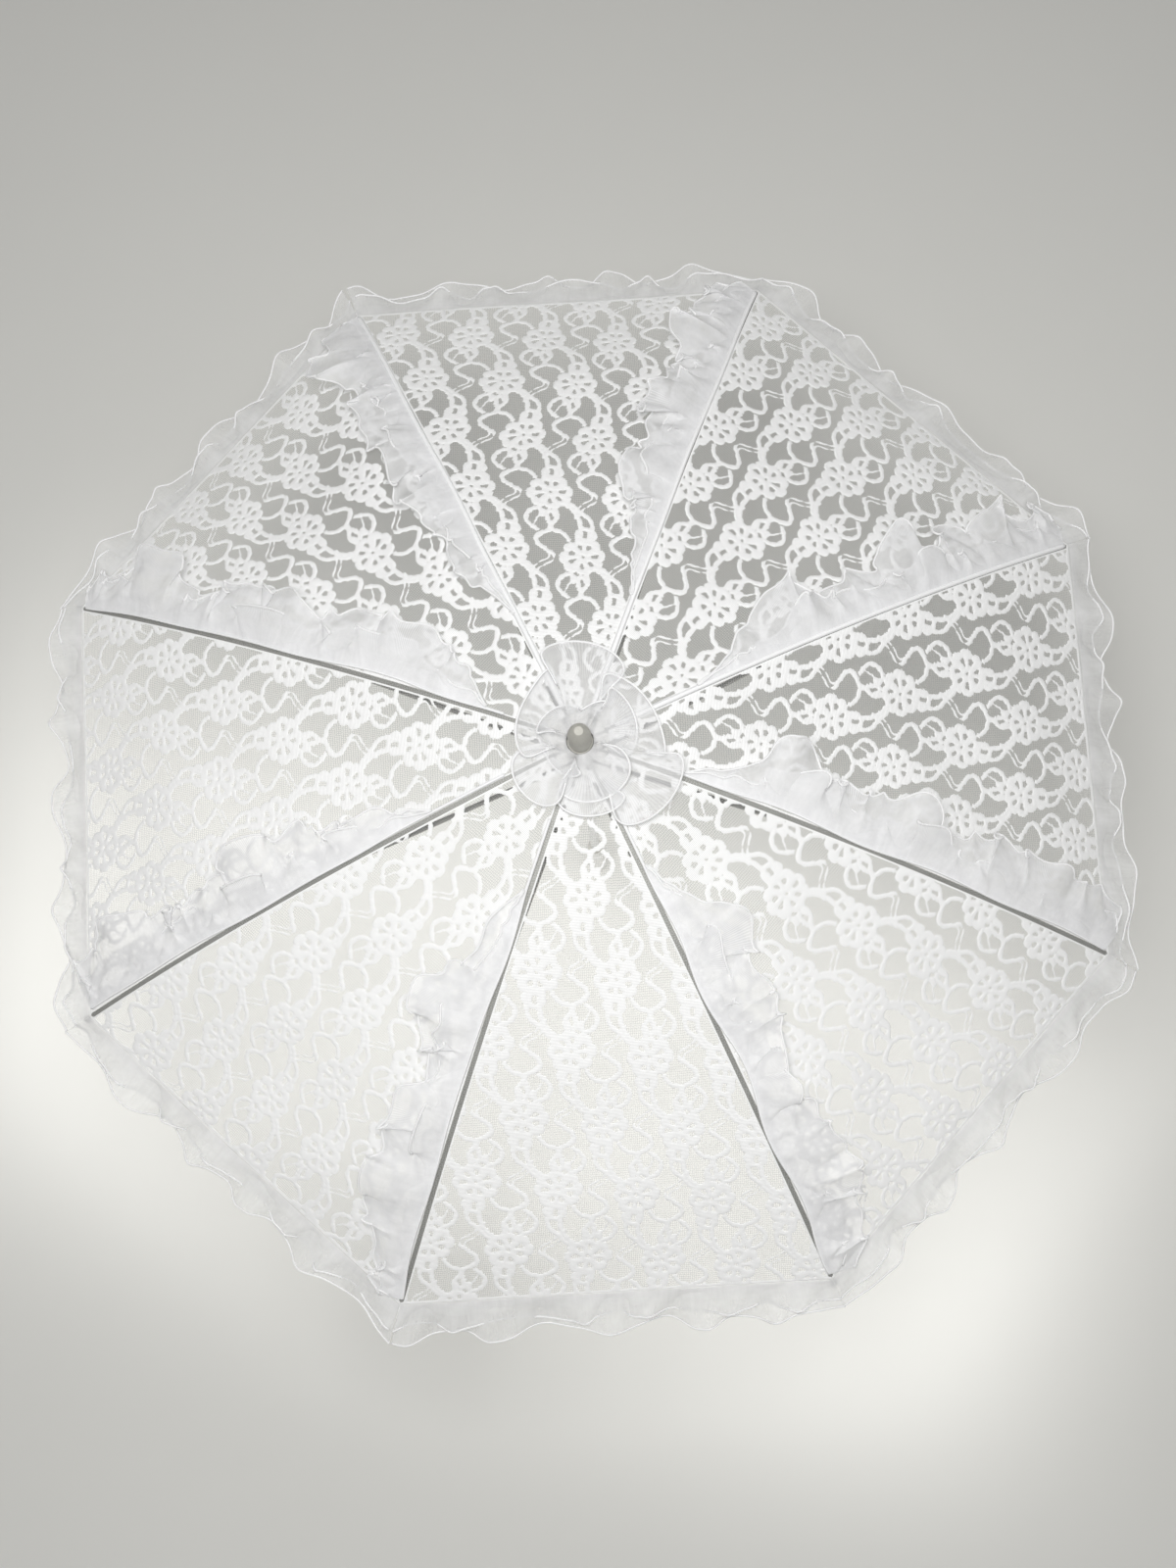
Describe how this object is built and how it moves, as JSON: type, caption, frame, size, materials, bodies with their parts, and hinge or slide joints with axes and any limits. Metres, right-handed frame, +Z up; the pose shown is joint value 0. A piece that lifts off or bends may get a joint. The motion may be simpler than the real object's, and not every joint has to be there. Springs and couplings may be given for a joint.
{
  "type": "lace parasol",
  "caption": "Open lace parasol with a hinged rib frame, sliding runner, spring catches, organza frills and a turned grip.",
  "frame": {"origin": "centre of the grip's straight cylinder, on the shaft's axis", "axes": "+Z up the shaft to the ferrule; a rib lies 22.5 degrees round from +X, and the spring catches face +X"},
  "size_m": [0.7992, 0.7992, 0.6464],
  "materials": {
    "lace": "open raschel lace",
    "organza": "sheer organza with a corded edge",
    "frame_steel": "nickel-plated",
    "painted_shaft": "satin white enamel",
    "painted_handle": "white lacquer",
    "white_plastic": "moulded white",
    "plated_trim": "satin nickel plate"
  },
  "bodies": {
    "shaft": {"shaft_tube": "painted_shaft", "shaft_pins": "frame_steel", "ferrule": "plated_trim", "top_notch": "frame_steel", "notch_wire": "frame_steel", "crown_rosette": "organza", "handle": "painted_handle", "handle_collar": "plated_trim"},
    "top_catch": {"top_spring": "frame_steel"},
    "bottom_catch": {"bottom_spring": "frame_steel"},
    "runner": {"runner": "white_plastic", "runner_wire": "frame_steel"},
    "rib_1": {"rib_1": "frame_steel", "rib_tip_1": "white_plastic", "rib_rivet_1": "frame_steel", "lace_panel_1": "lace", "organza_ruffle_1": "organza"},
    "stretcher_1": {"stretcher_1": "frame_steel"},
    "rib_2": {"rib_2": "frame_steel", "rib_tip_2": "white_plastic", "rib_rivet_2": "frame_steel", "lace_panel_2": "lace", "organza_ruffle_2": "organza"},
    "stretcher_2": {"stretcher_2": "frame_steel"},
    "rib_3": {"rib_3": "frame_steel", "rib_tip_3": "white_plastic", "rib_rivet_3": "frame_steel", "lace_panel_3": "lace", "organza_ruffle_3": "organza"},
    "stretcher_3": {"stretcher_3": "frame_steel"},
    "rib_4": {"rib_4": "frame_steel", "rib_tip_4": "white_plastic", "rib_rivet_4": "frame_steel", "lace_panel_4": "lace", "organza_ruffle_4": "organza"},
    "stretcher_4": {"stretcher_4": "frame_steel"},
    "rib_5": {"rib_5": "frame_steel", "rib_tip_5": "white_plastic", "rib_rivet_5": "frame_steel", "lace_panel_5": "lace", "organza_ruffle_5": "organza"},
    "stretcher_5": {"stretcher_5": "frame_steel"},
    "rib_6": {"rib_6": "frame_steel", "rib_tip_6": "white_plastic", "rib_rivet_6": "frame_steel", "lace_panel_6": "lace", "organza_ruffle_6": "organza"},
    "stretcher_6": {"stretcher_6": "frame_steel"},
    "rib_7": {"rib_7": "frame_steel", "rib_tip_7": "white_plastic", "rib_rivet_7": "frame_steel", "lace_panel_7": "lace", "organza_ruffle_7": "organza"},
    "stretcher_7": {"stretcher_7": "frame_steel"},
    "rib_8": {"rib_8": "frame_steel", "rib_tip_8": "white_plastic", "rib_rivet_8": "frame_steel", "lace_panel_8": "lace", "organza_ruffle_8": "organza"},
    "stretcher_8": {"stretcher_8": "frame_steel"}
  },
  "joints": [
    {"name": "canopy_fold", "type": "hinge", "parent": "shaft", "child": "rib_1", "pos_m": [0.00831, 0.00344, 0.56], "axis": [-0.3827, 0.9239, 0], "range_deg": [0, 69], "deforming": ["lace_panel_1", "organza_ruffle_1", "lace_panel_2", "organza_ruffle_2", "lace_panel_3", "organza_ruffle_3", "lace_panel_4", "organza_ruffle_4", "lace_panel_5", "organza_ruffle_5", "lace_panel_6", "organza_ruffle_6", "lace_panel_7", "organza_ruffle_7", "lace_panel_8", "organza_ruffle_8", "top_spring", "bottom_spring"]},
    {"name": "stretcher_1_rivet", "type": "hinge", "parent": "rib_1", "child": "stretcher_1", "pos_m": [0.15857, 0.06568, 0.53216], "axis": [-0.3827, 0.9239, 0], "range_deg": [-138, 0]},
    {"name": "rib_2_hinge", "type": "hinge", "parent": "shaft", "child": "rib_2", "pos_m": [0.00344, 0.00831, 0.56], "axis": [-0.9239, 0.3827, 0], "range_deg": [0, 69]},
    {"name": "stretcher_2_rivet", "type": "hinge", "parent": "rib_2", "child": "stretcher_2", "pos_m": [0.06568, 0.15857, 0.53216], "axis": [-0.9239, 0.3827, 0], "range_deg": [-138, 0]},
    {"name": "rib_3_hinge", "type": "hinge", "parent": "shaft", "child": "rib_3", "pos_m": [-0.00344, 0.00831, 0.56], "axis": [-0.9239, -0.3827, 0], "range_deg": [0, 69]},
    {"name": "stretcher_3_rivet", "type": "hinge", "parent": "rib_3", "child": "stretcher_3", "pos_m": [-0.06568, 0.15857, 0.53216], "axis": [-0.9239, -0.3827, 0], "range_deg": [-138, 0]},
    {"name": "rib_4_hinge", "type": "hinge", "parent": "shaft", "child": "rib_4", "pos_m": [-0.00831, 0.00344, 0.56], "axis": [-0.3827, -0.9239, 0], "range_deg": [0, 69]},
    {"name": "stretcher_4_rivet", "type": "hinge", "parent": "rib_4", "child": "stretcher_4", "pos_m": [-0.15857, 0.06568, 0.53216], "axis": [-0.3827, -0.9239, 0], "range_deg": [-138, 0]},
    {"name": "rib_5_hinge", "type": "hinge", "parent": "shaft", "child": "rib_5", "pos_m": [-0.00831, -0.00344, 0.56], "axis": [0.3827, -0.9239, 0], "range_deg": [0, 69]},
    {"name": "stretcher_5_rivet", "type": "hinge", "parent": "rib_5", "child": "stretcher_5", "pos_m": [-0.15857, -0.06568, 0.53216], "axis": [0.3827, -0.9239, 0], "range_deg": [-138, 0]},
    {"name": "rib_6_hinge", "type": "hinge", "parent": "shaft", "child": "rib_6", "pos_m": [-0.00344, -0.00831, 0.56], "axis": [0.9239, -0.3827, 0], "range_deg": [0, 69]},
    {"name": "stretcher_6_rivet", "type": "hinge", "parent": "rib_6", "child": "stretcher_6", "pos_m": [-0.06568, -0.15857, 0.53216], "axis": [0.9239, -0.3827, 0], "range_deg": [-138, 0]},
    {"name": "rib_7_hinge", "type": "hinge", "parent": "shaft", "child": "rib_7", "pos_m": [0.00344, -0.00831, 0.56], "axis": [0.9239, 0.3827, 0], "range_deg": [0, 69]},
    {"name": "stretcher_7_rivet", "type": "hinge", "parent": "rib_7", "child": "stretcher_7", "pos_m": [0.06568, -0.15857, 0.53216], "axis": [0.9239, 0.3827, 0], "range_deg": [-138, 0]},
    {"name": "rib_8_hinge", "type": "hinge", "parent": "shaft", "child": "rib_8", "pos_m": [0.00831, -0.00344, 0.56], "axis": [0.3827, 0.9239, 0], "range_deg": [0, 69]},
    {"name": "stretcher_8_rivet", "type": "hinge", "parent": "rib_8", "child": "stretcher_8", "pos_m": [0.15857, -0.06568, 0.53216], "axis": [0.3827, 0.9239, 0], "range_deg": [-138, 0]},
    {"name": "runner_pivot", "type": "hinge", "parent": "stretcher_1", "child": "runner", "pos_m": [0.00831, 0.00344, 0.50431], "axis": [-0.3827, 0.9239, 0], "range_deg": [0, 69]},
    {"name": "top_catch_press", "type": "hinge", "parent": "shaft", "child": "top_catch", "pos_m": [0, 0, 0.43791], "axis": [0, -1, 0], "range_deg": [0, 9], "stiffness_Nm_per_rad": 0.05},
    {"name": "bottom_catch_press", "type": "hinge", "parent": "shaft", "child": "bottom_catch", "pos_m": [0, 0, 0.26328], "axis": [0, 1, 0], "range_deg": [0, 9], "stiffness_Nm_per_rad": 0.05}
  ],
  "couplings": [
    {"joint": "stretcher_1_rivet", "follows": "canopy_fold", "ratio": -2},
    {"joint": "rib_2_hinge", "follows": "canopy_fold", "ratio": 1},
    {"joint": "stretcher_2_rivet", "follows": "canopy_fold", "ratio": -2},
    {"joint": "rib_3_hinge", "follows": "canopy_fold", "ratio": 1},
    {"joint": "stretcher_3_rivet", "follows": "canopy_fold", "ratio": -2},
    {"joint": "rib_4_hinge", "follows": "canopy_fold", "ratio": 1},
    {"joint": "stretcher_4_rivet", "follows": "canopy_fold", "ratio": -2},
    {"joint": "rib_5_hinge", "follows": "canopy_fold", "ratio": 1},
    {"joint": "stretcher_5_rivet", "follows": "canopy_fold", "ratio": -2},
    {"joint": "rib_6_hinge", "follows": "canopy_fold", "ratio": 1},
    {"joint": "stretcher_6_rivet", "follows": "canopy_fold", "ratio": -2},
    {"joint": "rib_7_hinge", "follows": "canopy_fold", "ratio": 1},
    {"joint": "stretcher_7_rivet", "follows": "canopy_fold", "ratio": -2},
    {"joint": "rib_8_hinge", "follows": "canopy_fold", "ratio": 1},
    {"joint": "stretcher_8_rivet", "follows": "canopy_fold", "ratio": -2},
    {"joint": "runner_pivot", "follows": "canopy_fold", "ratio": 1}
  ]
}
